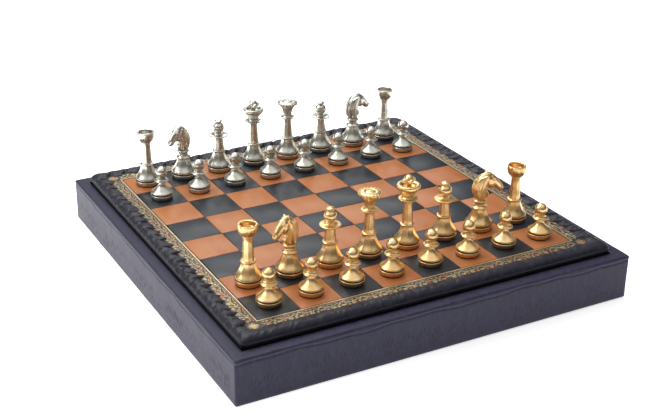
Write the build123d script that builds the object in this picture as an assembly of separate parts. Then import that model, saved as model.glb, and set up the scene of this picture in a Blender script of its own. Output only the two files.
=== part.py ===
from build123d import *

import os

# A chess set on a lidded storage box. The lid is the board: a leather playing field with a brass line,
# a gilt border and a padded leatherette roll round its edge. It drops into the box and rests on liner
# boards. Millimetres, +Z up, origin in the middle of the box's underside, +Y towards the silver side.

# Board and box
SQUARE = 35.0          # side of one playing square
ROWS = 8
BOX_HALF = 174.0       # half the outside width of the box
LEDGE_TOP = 38.1       # flat rim of the box, round the lid
BOARD_TOP = 44.4       # playing surface
COVER = 0.8            # leatherette, velvet and felt thickness
WALL = 9.0             # wall board thickness
BOTTOM = 4.0           # bottom board thickness
LINER = 5.8            # liner board with its velvet
REST_TOP = 32.6        # top edge of the liners, where the lid rests
BASE_INSET = 2.5       # felt under the box is this much smaller all round
DIVIDER = 3.0
DIVIDER_TOP = 31.0
DIVIDER_X = 52.8       # the two cross dividers stand this far from the middle
LAP_CLEARANCE = 0.05

# Lid
LID_GAP = 0.4          # between the roll and the box's opening
LID_CORNER = 8.0
LID_BASE = 5.0
LEATHER = 0.6
SQUARE_GAP = 0.2       # fine joint between squares
LINE_IN = 140.9        # brass line, inner and outer half widths
LINE_OUT = 141.7
LINE_PROUD = 0.1
BORDER_IN = 141.8
BORDER_OUT = 153.8
ROLL_IN = 154.0
ROLL_TOP = 45.4
ROLL_WALL = 1.0
FOAM_TOP = 43.4

# Men. Heights are above the playing surface, radii from each man's own axis.
FELT = 0.6
FACETS = 8
FACET_TURN = 22.5      # flats square to the board
PLINTH_TOP = 3.7
GROOVE_TOP = 4.3
RING_TOP = 5.4
SKIRT_TOP = 19.0
COLLAR_TOP = 20.0
FOOT_RADIUS = {"rook": 10.8, "knight": 11.5, "bishop": 11.0, "queen": 11.1, "king": 10.7, "pawn": 10.0}
FELT_INSET = 0.8

# Columns run from -X to +X. Silver officers stand on the far row with their pawns before them; gold
# pawns stand on the nearest row and gold officers on the second.
SILVER_OFFICERS = ["rook", "knight", "bishop", "king", "queen", "bishop", "knight", "rook"]
GOLD_OFFICERS = ["rook", "knight", "bishop", "queen", "king", "bishop", "knight", "rook"]
SILVER_ROWS = (7, 6)
GOLD_ROWS = (1, 0)
# Which way each horse looks, in degrees from +X: all outwards, and none quite square to the board.
KNIGHT_TURN = {"silver_left": 205.0, "silver_right": 6.0, "gold_left": 202.0, "gold_right": -24.0}

OPENING = BOX_HALF - COVER - WALL - COVER
WALL_OUT = BOX_HALF - COVER
WALL_IN = WALL_OUT - WALL
WALL_BASE = COVER + BOTTOM
FLOOR_TOP = WALL_BASE + COVER
LINER_IN = WALL_IN - LINER
LID_HALF = OPENING - LID_GAP
LID_UNDER = REST_TOP + COVER
LID_BASE_TOP = LID_UNDER + LID_BASE
PANEL_TOP = BOARD_TOP - LEATHER

BOTTOM_ALIGN = (Align.CENTER, Align.CENTER, Align.MIN)


def slab(x0, x1, y0, y1, z0, z1):
    """A plain board between two corners."""
    block = Box(x1 - x0, y1 - y0, z1 - z0, align=(Align.MIN, Align.MIN, Align.MIN))
    return Pos(x0, y0, z0) * block


def square_slab(half, z0, z1):
    return slab(-half, half, -half, half, z0, z1)


def square_ring(half_in, half_out, z0, z1):
    return square_slab(half_out, z0, z1) - square_slab(half_in, z0, z1)


# Box ---------------------------------------------------------------------------------------------

def walls():
    """Side walls run the full depth; front and back stand between them."""
    top = LEDGE_TOP - COVER
    return {
        "left_wall": slab(-WALL_OUT, -WALL_IN, -WALL_OUT, WALL_OUT, WALL_BASE, top),
        "right_wall": slab(WALL_IN, WALL_OUT, -WALL_OUT, WALL_OUT, WALL_BASE, top),
        "front_wall": slab(-WALL_IN, WALL_IN, -WALL_OUT, -WALL_IN, WALL_BASE, top),
        "back_wall": slab(-WALL_IN, WALL_IN, WALL_IN, WALL_OUT, WALL_BASE, top),
    }


def leatherette_wrap():
    """One cover: up the outside, over the ledge and down inside to the liners."""
    outside = square_ring(WALL_OUT, BOX_HALF, COVER, LEDGE_TOP)
    ledge = square_ring(OPENING, WALL_OUT, LEDGE_TOP - COVER, LEDGE_TOP)
    turned_in = square_ring(OPENING, WALL_IN, REST_TOP, LEDGE_TOP - COVER)
    return outside + ledge + turned_in


def liners():
    """Boards the lid rests on, inside the walls."""
    return {
        "left_liner": slab(-WALL_IN, -LINER_IN, -WALL_IN, WALL_IN, FLOOR_TOP, REST_TOP),
        "right_liner": slab(LINER_IN, WALL_IN, -WALL_IN, WALL_IN, FLOOR_TOP, REST_TOP),
        "front_liner": slab(-LINER_IN, LINER_IN, -WALL_IN, -LINER_IN, FLOOR_TOP, REST_TOP),
        "back_liner": slab(-LINER_IN, LINER_IN, LINER_IN, WALL_IN, FLOOR_TOP, REST_TOP),
    }


def dividers():
    """Three partitions, half-lapped where they cross."""
    thick = DIVIDER / 2
    lap = (FLOOR_TOP + DIVIDER_TOP) / 2
    slot = thick + LAP_CLEARANCE
    centre = slab(-LINER_IN, LINER_IN, -thick, thick, FLOOR_TOP, DIVIDER_TOP)
    made = {}
    for name, x in (("left_divider", -DIVIDER_X), ("right_divider", DIVIDER_X)):
        cross = slab(x - thick, x + thick, -LINER_IN, LINER_IN, FLOOR_TOP, DIVIDER_TOP)
        made[name] = cross - slab(x - slot, x + slot, -slot, slot, FLOOR_TOP - 1, lap)
        centre -= slab(x - slot, x + slot, -slot, slot, lap, DIVIDER_TOP + 1)
    made["centre_divider"] = centre
    return made


# Lid ---------------------------------------------------------------------------------------------

def rounded_slab(half, corner, z0, z1):
    return Pos(0, 0, z0) * extrude(RectangleRounded(2 * half, 2 * half, corner), z1 - z0)


def edge_foam():
    """Foam strip round the playing panel, domed on its outer edge."""
    outer = rounded_slab(LID_HALF - ROLL_WALL, LID_CORNER - ROLL_WALL, LID_BASE_TOP, FOAM_TOP)
    outer = fillet(outer.faces().sort_by(Axis.Z)[-1].edges(), 4.0)
    return outer - square_slab(ROLL_IN + ROLL_WALL, LID_BASE_TOP, FOAM_TOP)


def edge_cover(foam):
    """The padded roll: leatherette over the foam, tucked down beside the playing panel."""
    roll = rounded_slab(LID_HALF, LID_CORNER, LID_UNDER, ROLL_TOP)
    roll = fillet(roll.faces().sort_by(Axis.Z)[-1].edges(), 6.0)
    roll -= square_slab(ROLL_IN, LID_UNDER, ROLL_TOP)
    inner = roll.edges().filter_by(GeomType.LINE).group_by(Axis.Z)[-1]
    roll = fillet(inner, 2.0)
    roll -= square_slab(LID_HALF - COVER * 3, LID_UNDER, LID_BASE_TOP)
    return roll - foam


def squares(dark):
    """The 32 leather squares of one colour, as separate solids; near left corner is dark."""
    solids = []
    for column in range(ROWS):
        for row in range(ROWS):
            if ((column + row) % 2 == 0) != dark:
                continue
            x, y = square_centre(column, row)
            half = (SQUARE - SQUARE_GAP) / 2
            solids.append(slab(x - half, x + half, y - half, y + half, PANEL_TOP, BOARD_TOP))
    return Compound(children=solids)


def square_centre(column, row):
    middle = (ROWS - 1) / 2
    return (column - middle) * SQUARE, (row - middle) * SQUARE


# Men ---------------------------------------------------------------------------------------------

def disc(radius, z0, z1):
    return Pos(0, 0, z0) * Cylinder(radius, z1 - z0, align=BOTTOM_ALIGN)


def turned(outline):
    """A lathe-turned stretch: (radius, height) points from bottom to top, closed on the axis."""
    points = [(0, outline[0][1]), *outline, (0, outline[-1][1])]
    face = make_face(Plane.XZ * Polyline(*points, close=True))
    return revolve(face, Axis.Z)


def faceted(sections):
    """An eight-sided stretch through (corner radius, height) sections."""
    rings = [Pos(0, 0, z) * RegularPolygon(r, FACETS, rotation=FACET_TURN) for r, z in sections]
    return loft(rings, ruled=True)


def foot(radius):
    """Round plinth, dark groove and thin ring that every man stands on."""
    plinth = disc(radius, FELT, PLINTH_TOP)
    groove = disc(radius - 0.7, PLINTH_TOP, GROOVE_TOP)
    ring = disc(radius - 0.2, GROOVE_TOP, RING_TOP)
    return plinth + groove + ring


def faceted_foot(radius, collar):
    """Foot, eight-sided bell and collar ring of the large men."""
    top = collar - 0.6
    bell = [
        (radius - 0.5, RING_TOP),
        (radius - 1.1, RING_TOP + 1.6),
        ((radius + top) / 2 - 0.9, 10.6),
        (top + 0.9, 14.6),
        (top, SKIRT_TOP),
    ]
    return foot(radius) + faceted(bell) + disc(collar, SKIRT_TOP, COLLAR_TOP)


def rook():
    shaft = faceted([(4.5, COLLAR_TOP), (3.7, 39.6)])
    cup = turned([(4.2, 39.6), (6.4, 40.4), (7.0, 42.0), (6.6, 43.6), (7.8, 47.0), (7.8, 49.8)])
    cup -= disc(5.6, 46.4, 50.0)
    for turn in (0, 90):
        cup -= Rot(0, 0, turn) * slab(-9, 9, -0.8, 0.8, 48.2, 50.0)
    return faceted_foot(FOOT_RADIUS["rook"], 6.15) + shaft + cup


def king():
    shaft = faceted([(4.5, COLLAR_TOP), (3.5, 40.7)])
    crown = turned([
        (5.0, 40.7), (7.8, 41.2), (7.8, 42.0), (4.5, 42.8), (4.5, 43.8),
        (6.2, 47.0), (9.2, 50.6), (9.5, 52.0), (8.6, 53.6), (5.0, 54.2),
    ])
    finial = turned([(3.2, 54.2), (5.8, 56.6), (6.0, 58.4), (4.2, 60.6), (2.4, 61.5)])
    return faceted_foot(FOOT_RADIUS["king"], 5.9) + shaft + crown + finial


def queen():
    shaft = faceted([(4.5, COLLAR_TOP), (3.5, 38.5)])
    trumpet = turned([
        (4.4, 38.5), (7.1, 39.0), (7.1, 39.8), (4.0, 40.6), (4.1, 43.4),
        (5.4, 47.0), (9.4, 51.8), (9.7, 53.4), (8.6, 54.8), (4.2, 55.5),
    ])
    return faceted_foot(FOOT_RADIUS["queen"], 5.9) + shaft + trumpet


def bishop():
    shaft = faceted([(4.8, COLLAR_TOP), (3.6, 33.0)])
    head = turned([
        (4.6, 33.0), (8.7, 33.6), (8.7, 34.4), (3.5, 35.4), (3.5, 36.6), (4.8, 38.4), (5.3, 40.8),
        (4.9, 43.2), (3.4, 45.4), (2.2, 46.2), (3.5, 47.0), (3.5, 48.2), (2.0, 49.0),
    ])
    return faceted_foot(FOOT_RADIUS["bishop"], 6.1) + shaft + head


def knight():
    """Horse head looking along +X; the Y thickness narrows from the neck to the muzzle."""
    neck = turned([(6.7, COLLAR_TOP), (6.7, 20.6), (4.4, 21.6), (4.0, 23.4), (5.5, 25.0), (5.5, 26.4)])
    outline = [
        (-4.4, 26.4), (-5.8, 31.0), (-5.6, 38.0), (-3.6, 45.0), (-0.4, 49.6), (4.0, 50.6), (7.6, 50.2),
        (11.8, 46.8), (14.6, 42.0), (18.2, 37.0), (15.8, 34.8), (10.0, 36.6), (6.6, 37.2), (5.2, 35.6),
        (6.0, 33.0), (5.2, 29.0), (4.8, 26.4),
    ]
    profile = make_face(Plane.XZ * Polyline(*outline, close=True))
    head = extrude(profile, 4.0, both=True)
    plan = [(-8.0, -4.4), (6.0, -4.4), (18.5, -2.2), (18.5, 2.2), (6.0, 4.4), (-8.0, 4.4)]
    head &= Pos(0, 0, 26.4) * extrude(make_face(Polyline(*plan, close=True)), 24.0)
    return faceted_foot(FOOT_RADIUS["knight"], 6.3) + neck + head


def pawn():
    body = turned([
        (9.5, RING_TOP), (8.6, 6.6), (5.2, 9.4), (3.0, 12.6), (2.5, 15.8), (3.4, 16.2), (6.3, 16.6),
        (6.3, 17.4), (4.2, 18.0), (4.0, 19.8),
    ])
    ball = Pos(0, 0, 24.3) * Sphere(5.1)
    return foot(FOOT_RADIUS["pawn"]) + body + ball


MAKERS = {"rook": rook, "knight": knight, "bishop": bishop, "queen": queen, "king": king, "pawn": pawn}


def place(kind, column, row, turn=0.0):
    """One man with its felt pad on a square, turned about its own axis."""
    metal = Rot(0, 0, turn) * MAKERS[kind]()
    felt = disc(FOOT_RADIUS[kind] - FELT_INSET, 0, FELT)
    x, y = square_centre(column, row)
    where = Pos(x, y, BOARD_TOP)
    return Compound(children=[*(where * metal).solids(), where * felt])


def men():
    """Every man at its place; officers are numbered left and right, pawns by column."""
    made = {}
    sides = {"silver": (SILVER_OFFICERS, SILVER_ROWS), "gold": (GOLD_OFFICERS, GOLD_ROWS)}
    for metal, (officers, (officer_row, pawn_row)) in sides.items():
        for column, kind in enumerate(officers):
            hand = "left" if column < ROWS / 2 else "right"
            name = kind if kind in ("king", "queen") else f"{kind}_{hand}"
            turn = KNIGHT_TURN[f"{metal}_{hand}"] if kind == "knight" else 0.0
            made[f"{metal}_{name}"] = place(kind, column, officer_row, turn)
            made[f"{metal}_pawn_{column + 1}"] = place("pawn", column, pawn_row)
    return made


def build():
    foam = edge_foam()
    nodes = {
        **walls(),
        "bottom_panel": square_slab(WALL_OUT, COVER, WALL_BASE),
        "base_cloth": square_slab(BOX_HALF - BASE_INSET, 0, COVER),
        "leatherette_wrap": leatherette_wrap(),
        "floor_lining": square_slab(WALL_IN, WALL_BASE, FLOOR_TOP),
        **liners(),
        **dividers(),
        "lid_lining": square_slab(LID_HALF - 1.0, REST_TOP, LID_UNDER),
        "lid_base": square_slab(LID_HALF - COVER * 3, LID_UNDER, LID_BASE_TOP),
        "board_panel": square_slab(BORDER_OUT, LID_BASE_TOP, PANEL_TOP),
        "edge_foam": foam,
        "edge_cover": edge_cover(foam),
        "tan_squares": squares(dark=False),
        "navy_squares": squares(dark=True),
        "brass_line": square_ring(LINE_IN, LINE_OUT, PANEL_TOP, BOARD_TOP + LINE_PROUD),
        "gilt_border": square_ring(BORDER_IN, BORDER_OUT, PANEL_TOP, BOARD_TOP),
        **men(),
    }
    os.makedirs("parts", exist_ok=True)
    for name, shape in nodes.items():
        export_step(shape, f"parts/{name}.step")


build()
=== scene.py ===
"""A chess set on the lid of its storage box: the looks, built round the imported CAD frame.

Metres, in the CAD model's own frame: +Z up, the origin under the middle of the box, gold men on the -Y side.
Sizes in millimetres are multiplied by MM.
"""
import math
import random

import bpy
from mathutils import Matrix, Vector


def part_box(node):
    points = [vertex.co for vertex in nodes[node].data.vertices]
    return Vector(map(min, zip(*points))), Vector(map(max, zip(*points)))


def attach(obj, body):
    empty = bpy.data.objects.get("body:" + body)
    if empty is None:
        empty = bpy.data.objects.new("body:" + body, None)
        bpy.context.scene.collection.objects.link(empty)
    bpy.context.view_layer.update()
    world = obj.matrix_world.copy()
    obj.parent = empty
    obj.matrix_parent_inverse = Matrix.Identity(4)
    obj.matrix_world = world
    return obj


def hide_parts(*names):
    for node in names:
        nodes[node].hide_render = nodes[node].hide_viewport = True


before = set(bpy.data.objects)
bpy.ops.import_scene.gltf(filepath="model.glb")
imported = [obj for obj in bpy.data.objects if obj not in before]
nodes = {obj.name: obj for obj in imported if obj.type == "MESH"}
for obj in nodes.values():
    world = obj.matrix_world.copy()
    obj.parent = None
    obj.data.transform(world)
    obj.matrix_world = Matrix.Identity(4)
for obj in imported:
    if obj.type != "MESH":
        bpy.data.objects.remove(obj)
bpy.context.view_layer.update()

MM = 0.001
FINE = 0.002 * MM          # points nearer than this are one, where the mesh is fine


def half_width(node):
    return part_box(node)[1].x


def top_of(node):
    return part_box(node)[1].z


# Sizes taken from the CAD frame
BOX_HALF = half_width("leatherette_wrap")
LEDGE_TOP = top_of("leatherette_wrap")
WRAP_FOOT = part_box("leatherette_wrap")[0].z
REST_TOP = top_of("left_liner")
WALL_TOP = top_of("left_wall")
WALL_OUT = half_width("right_wall")
WALL_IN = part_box("right_wall")[0].x
LID_HALF = half_width("edge_cover")
LID_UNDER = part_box("edge_cover")[0].z
BOARD_TOP = top_of("navy_squares")
LEATHER_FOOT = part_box("navy_squares")[0].z
PANEL_TOP = top_of("board_panel")
PANEL_HALF = half_width("board_panel")
FIELD_HALF = half_width("navy_squares")
ROWS = 8
SQUARE_GAP = 0.2 * MM
SQUARE = (2 * FIELD_HALF + SQUARE_GAP) / ROWS

# The men, in millimetres above the board and from their own axes
FELT = 0.6
COLLAR_FOOT = 19.0
COLLAR_TOP = 20.0
FOOT_RADIUS = {"rook": 10.8, "knight": 11.5, "bishop": 11.0, "queen": 11.1, "king": 10.7, "pawn": 10.0}
FELT_INSET = 0.8
KNIGHT_TURN = {"silver_left": 205.0, "silver_right": 6.0, "gold_left": 202.0, "gold_right": -24.0}


# Modelling helpers --------------------------------------------------------------------------------

def deselect():
    if bpy.context.mode != "OBJECT":
        bpy.ops.object.mode_set(mode="OBJECT")
    bpy.ops.object.select_all(action="DESELECT")


def pick(*pieces):
    """Selects these objects and nothing else; the first is active."""
    deselect()
    for piece in pieces:
        piece.select_set(True)
    bpy.context.view_layer.objects.active = pieces[0]


def edit(piece):
    pick(piece)
    bpy.ops.object.mode_set(mode="EDIT")
    bpy.ops.mesh.select_mode(type="VERT")
    bpy.ops.mesh.select_all(action="DESELECT")
    bpy.ops.object.mode_set(mode="OBJECT")


def select_where(piece, kind, wanted):
    """Selects in edit mode the vertices, edges or faces whose middle passes wanted."""
    edit(piece)
    mesh = piece.data
    if kind == "FACE":
        for face in mesh.polygons:
            face.select = wanted(face.center)
    elif kind == "EDGE":
        for edge in mesh.edges:
            ends = [mesh.vertices[i].co for i in edge.vertices]
            edge.select = wanted(ends[0], ends[1])
    else:
        for vertex in mesh.vertices:
            vertex.select = wanted(vertex.co)
    bpy.ops.object.mode_set(mode="EDIT")
    bpy.ops.mesh.select_mode(type=kind)


def settle():
    """Back to object mode with the active object's place baked into its mesh."""
    if bpy.context.mode != "OBJECT":
        bpy.ops.object.mode_set(mode="OBJECT")
    bpy.ops.object.transform_apply(location=True, rotation=True, scale=True)


def joined(name, pieces):
    pick(*pieces)
    if len(pieces) > 1:
        bpy.ops.object.join()
    pieces[0].name = name
    pieces[0].data.name = name
    return pieces[0]


def outward(piece, merge=0.01 * MM):
    """Merges doubles and turns every face outwards."""
    pick(piece)
    bpy.ops.object.mode_set(mode="EDIT")
    bpy.ops.mesh.select_all(action="SELECT")
    bpy.ops.mesh.remove_doubles(threshold=merge)
    bpy.ops.mesh.normals_make_consistent(inside=False)
    bpy.ops.object.mode_set(mode="OBJECT")
    return piece


def modify(piece, kind, **settings):
    """Adds a modifier and applies it."""
    pick(piece)
    modifier = piece.modifiers.new(kind.title(), kind)
    for name, value in settings.items():
        setattr(modifier, name, value)
    bpy.ops.object.modifier_apply(modifier=modifier.name)
    return piece


def smooth(piece, angle=35):
    pick(piece)
    bpy.ops.object.shade_smooth_by_angle(angle=math.radians(angle))
    return piece


def copy_of(piece, name, matrix=Matrix.Identity(4)):
    """A copy with its own mesh, put in its place."""
    made = piece.copy()
    made.data = piece.data.copy()
    made.data.transform(matrix)
    made.name = name
    made.data.name = name
    bpy.context.scene.collection.objects.link(made)
    return made


def drop(*pieces):
    for piece in pieces:
        bpy.data.objects.remove(piece)


def dress(piece, *materials):
    piece.data.materials.clear()
    for material in materials:
        piece.data.materials.append(material)


def bow(start, end, bulge, steps=6):
    """Points of a shallow arc after start and up to end, bulging to the right of the way by bulge."""
    (r0, z0), (r1, z1) = start, end
    length = math.hypot(r1 - r0, z1 - z0)
    across = ((z1 - z0) / length, -(r1 - r0) / length)
    points = []
    for step in range(1, steps + 1):
        t = step / steps
        out = 4 * bulge * t * (1 - t)
        points.append((r0 + (r1 - r0) * t + across[0] * out, z0 + (z1 - z0) * t + across[1] * out))
    return points


def bead(radius, low, high, out, steps=6):
    """A rounded moulding on a turned outline, from low to high, standing out by out."""
    middle, half = (low + high) / 2, (high - low) / 2
    turns = [math.pi * (step / steps - 0.5) for step in range(steps + 1)]
    return [(radius + out * math.cos(turn), middle + half * math.sin(turn)) for turn in turns]


def turned(name, outline, sides=48):
    """A lathe-turned blank: a disc pulled through (radius, height) points in millimetres."""
    deselect()
    radius, height = outline[0]
    bpy.ops.mesh.primitive_circle_add(vertices=sides, radius=radius * MM, fill_type="NGON")
    piece = bpy.context.object
    piece.name = name
    piece.location.z = height * MM
    settle()
    bpy.ops.object.mode_set(mode="EDIT")
    bpy.ops.mesh.select_all(action="SELECT")
    for (r0, z0), (r1, z1) in zip(outline, outline[1:]):
        rise = (0, 0, (z1 - z0) * MM)
        bpy.ops.mesh.extrude_region_move(TRANSFORM_OT_translate={"value": rise})
        grow = r1 / r0
        bpy.ops.transform.resize(value=(grow, grow, 1), center_override=(0, 0, z1 * MM))
    bpy.ops.object.mode_set(mode="OBJECT")
    return outward(piece)


def reshape(piece, rule):
    """Moves each vertex to where rule(radius, turn, height), in mm and radians, says its radius is."""
    for vertex in piece.data.vertices:
        radius = math.hypot(vertex.co.x, vertex.co.y)
        if radius < 0.05 * MM:
            continue
        turn = math.atan2(vertex.co.y, vertex.co.x)
        scale = rule(radius / MM, turn, vertex.co.z / MM) / (radius / MM)
        vertex.co.x *= scale
        vertex.co.y *= scale
    return piece


def ease(value, low, high):
    t = min(1, max(0, (value - low) / (high - low)))
    return t * t * (3 - 2 * t)


def octagon(turn):
    """Radius share of an eight-sided section whose flats face the board's sides."""
    flat = math.pi / 4
    off = (turn + flat / 2) % flat - flat / 2
    return math.cos(flat / 2) / math.cos(off)


def swept(name, points, radii, depth, sides, detail, order):
    """A round bar along a smooth line through points in mm; at each its radius is that share of depth."""
    curve = bpy.data.curves.new(name, "CURVE")
    curve.dimensions = "3D"
    curve.bevel_depth = depth * MM
    curve.bevel_resolution = sides
    curve.resolution_u = detail
    curve.use_fill_caps = True
    spline = curve.splines.new("NURBS")
    spline.points.add(len(points) - 1)
    for place, point, radius in zip(spline.points, points, radii):
        place.co = (*(c * MM for c in point), 1)
        place.radius = radius
    spline.order_u = order
    spline.use_endpoint_u = True
    piece = bpy.data.objects.new(name, curve)
    bpy.context.scene.collection.objects.link(piece)
    pick(piece)
    bpy.ops.object.convert(target="MESH")
    return bpy.context.object


def strand(points, thickness, tip=0.35):
    """A round strand, thick in the middle and thinner at both tips, where tip is a share of its thickness."""
    last = len(points) - 1
    radii = [tip + (1 - tip) * math.sin(math.pi * (0.15 + 0.7 * index / last)) for index in range(last + 1)]
    return swept("strand", points, radii, thickness / 2, 1, 2, min(4, len(points)))


def ball(x, y, z, rx, ry=None, rz=None, segments=20, rings=12):
    """A round or oval blob in mm."""
    deselect()
    bpy.ops.mesh.primitive_uv_sphere_add(segments=segments, ring_count=rings, radius=MM)
    piece = bpy.context.object
    piece.scale = (rx, ry or rx, rz or rx)
    piece.location = (x * MM, y * MM, z * MM)
    settle()
    return piece


def block(x0, x1, y0, y1, z0, z1):
    deselect()
    bpy.ops.mesh.primitive_cube_add(size=1, location=((x0 + x1) / 2, (y0 + y1) / 2, (z0 + z1) / 2))
    piece = bpy.context.object
    piece.scale = (x1 - x0, y1 - y0, z1 - z0)
    settle()
    return piece


def cut_away(piece, *cutters):
    for cutter in cutters:
        modify(piece, "BOOLEAN", operation="DIFFERENCE", object=cutter, solver="EXACT")
    drop(*cutters)
    return piece


# Materials ----------------------------------------------------------------------------------------

NOISE, VORONOI, MAPPING = "ShaderNodeTexNoise", "ShaderNodeTexVoronoi", "ShaderNodeMapping"
RANGE, MIX, BUMP, MATH = "ShaderNodeMapRange", "ShaderNodeMix", "ShaderNodeBump", "ShaderNodeMath"
# Sockets of the colour Mix node
SHARE, FIRST, SECOND, MIXED = 0, 6, 7, 2


def colour(code):
    """Linear colour of an sRGB hex code."""
    shares = [int(code[i:i + 2], 16) / 255 for i in (0, 2, 4)]
    return (*(c / 12.92 if c <= 0.04045 else ((c + 0.055) / 1.055) ** 2.4 for c in shares), 1.0)


def feed(tree, node, sockets):
    """Fills a node's sockets, each with a number, a colour or another node's output."""
    for key, value in sockets.items():
        if isinstance(value, bpy.types.NodeSocket):
            tree.links.new(value, node.inputs[key])
        else:
            node.inputs[key].default_value = value


def add(tree, kind, sockets=None, **settings):
    """Adds a node with its settings and sockets."""
    node = tree.nodes.new(kind)
    for name, value in settings.items():
        setattr(node, name, value)
    feed(tree, node, sockets or {})
    return node


def tinted(tree, base, tint, pattern, low, high, most=1.0):
    """Lays a tint over a colour where a pattern's value rises from low to high, up to a share of most."""
    share = add(tree, RANGE, {"Value": pattern, "From Min": low, "From Max": high, "To Max": most})
    return add(tree, MIX, {
        SHARE: share.outputs["Result"], FIRST: base, SECOND: colour(tint)}, data_type="RGBA").outputs[MIXED]


def per(size):
    """Pattern scale at which one cell or wave is about size millimetres."""
    return 1000 / size


def begin(name):
    """A new material: its tree, its shader and the object coordinates."""
    material = bpy.data.materials.new(name)
    material.use_nodes = True
    tree = material.node_tree
    place = add(tree, "ShaderNodeTexCoord").outputs["Object"]
    return material, tree, tree.nodes["Principled BSDF"], place


def leatherette(name, deep, worn, roughness, mottle_share, paints_shade=False):
    """Vinyl-coated cloth pressed with a fine pebble grain: dull, cloudy, paler where it is rubbed.

    Where asked, painted shade is laid on from a mesh attribute: nearly black down in the pleats, darker at
    the foot of the roll.
    """
    material, tree, shader, place = begin(name)
    # Pebbles of a real grain are 0.4 mm across; drawn at 1.1 mm so that they show.
    pebble = add(tree, VORONOI, {"Vector": place, "Scale": per(1.1)})
    # The coating is drawn out lengthwise: clouds stand upright, about 4 mm wide and 12 mm tall.
    lay = add(tree, MAPPING, {"Vector": place, "Scale": (per(4), per(4), per(12))})
    cloud = add(tree, NOISE, {"Vector": lay.outputs["Vector"], "Scale": 1.0, "Detail": 5, "Roughness": 0.6})
    speck = add(tree, NOISE, {"Vector": place, "Scale": per(2.2), "Detail": 3})
    base = tinted(tree, colour(deep), worn, cloud.outputs["Fac"], 0.38, 0.68, mottle_share)
    base = tinted(tree, base, "0E0D14", speck.outputs["Fac"], 0.35, 0.7, 0.35)
    # Painted shade: the colour goes nearly black where the mesh attribute marks a pressed pleat or the roll's
    # foot.
    if paints_shade:
        depth = add(tree, "ShaderNodeAttribute", attribute_name="painted_roll_shade")
        base = tinted(tree, base, "050408", depth.outputs["Fac"], 0.0, 1.0)
    rough = add(tree, RANGE, {
        "Value": cloud.outputs["Fac"], "From Min": 0.3, "From Max": 0.7,
        "To Min": roughness - 0.06, "To Max": roughness + 0.08})
    grain = add(tree, BUMP, {"Height": pebble.outputs["Distance"], "Strength": 0.35, "Distance": 0.12 * MM})
    crease = add(tree, BUMP, {
        "Height": speck.outputs["Fac"], "Strength": 0.5, "Distance": 0.25 * MM,
        "Normal": grain.outputs["Normal"]})
    feed(tree, shader, {
        "Base Color": base, "Roughness": rough.outputs["Result"], "Normal": crease.outputs["Normal"],
        "Specular IOR Level": 0.32, "Sheen Weight": 0.05, "Sheen Roughness": 0.5})
    return material


def field_leather(name, plain, rubbed, deep):
    """Dyed calf, burnished to a satin: fine grain, soft streaks from the polishing roller."""
    material, tree, shader, place = begin(name)
    # Roller streaks run across the board, some 9 mm apart and a square or two long.
    lay = add(tree, MAPPING, {"Vector": place, "Scale": (per(9), per(60), per(20))})
    streak = add(tree, NOISE, {"Vector": lay.outputs["Vector"], "Scale": 1.0, "Detail": 3})
    cloud = add(tree, NOISE, {"Vector": place, "Scale": per(30), "Detail": 4})
    # Hair pores of 0.2 mm, drawn at 0.7 mm so that they show.
    pore = add(tree, VORONOI, {"Vector": place, "Scale": per(0.7)})
    base = tinted(tree, colour(plain), rubbed, streak.outputs["Fac"], 0.4, 0.7, 0.6)
    base = tinted(tree, base, deep, cloud.outputs["Fac"], 0.45, 0.75, 0.5)
    rough = add(tree, RANGE, {
        "Value": streak.outputs["Fac"], "From Min": 0.3, "From Max": 0.7, "To Min": 0.36, "To Max": 0.46})
    grain = add(tree, BUMP, {"Height": pore.outputs["Distance"], "Strength": 0.18, "Distance": 0.05 * MM})
    feed(tree, shader, {
        "Base Color": base, "Roughness": rough.outputs["Result"], "Normal": grain.outputs["Normal"],
        "Specular IOR Level": 0.36, "Coat Weight": 0.14, "Coat Roughness": 0.2})
    return material


def plated(name, bright, warm, shade, roughness):
    """Electroplated casting, hand polished to a satin gleam, with faint smears and a little tarnish."""
    material, tree, shader, place = begin(name)
    smear = add(tree, NOISE, {"Vector": place, "Scale": per(6), "Detail": 2})
    tarnish = add(tree, NOISE, {"Vector": place, "Scale": per(9), "Detail": 2})
    base = tinted(tree, colour(bright), warm, smear.outputs["Fac"], 0.4, 0.65)
    base = tinted(tree, base, shade, tarnish.outputs["Fac"], 0.5, 0.8, 0.35)
    rough = add(tree, RANGE, {
        "Value": smear.outputs["Fac"], "From Min": 0.3, "From Max": 0.7,
        "To Min": roughness - 0.04, "To Max": roughness + 0.06})
    ripple = add(tree, BUMP, {"Height": smear.outputs["Fac"], "Strength": 0.05, "Distance": 0.12 * MM})
    feed(tree, shader, {
        "Base Color": base, "Roughness": rough.outputs["Result"], "Normal": ripple.outputs["Normal"],
        "Metallic": 1.0})
    return material


def patina(name, dark, edge):
    """Oxide left in the grooves of a plated casting: nearly black, dull metal."""
    material, tree, shader, place = begin(name)
    grit = add(tree, NOISE, {"Vector": place, "Scale": per(0.8), "Detail": 3})
    base = tinted(tree, colour(dark), edge, grit.outputs["Fac"], 0.4, 0.7)
    feed(tree, shader, {"Base Color": base, "Metallic": 0.8, "Roughness": 0.42})
    return material


def gilt_foil():
    """Gold foil stamped into leather, worn unevenly: gold, with olive, copper and worn patches."""
    material, tree, shader, place = begin("stamped_gold_foil")
    patch = add(tree, NOISE, {"Vector": place, "Scale": per(5), "Detail": 3})
    blush = add(tree, NOISE, {"Vector": place, "Scale": per(9), "Detail": 2})
    fleck = add(tree, NOISE, {"Vector": place, "Scale": per(1.3), "Detail": 3})
    base = tinted(tree, colour("C9AE74"), "8D8C74", patch.outputs["Fac"], 0.42, 0.6)
    base = tinted(tree, base, "B98468", blush.outputs["Fac"], 0.5, 0.58, 0.85)
    base = tinted(tree, base, "4C4738", fleck.outputs["Fac"], 0.5, 0.7, 0.75)
    feed(tree, shader, {"Base Color": base, "Metallic": 0.6, "Roughness": 0.36})
    return material


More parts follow.
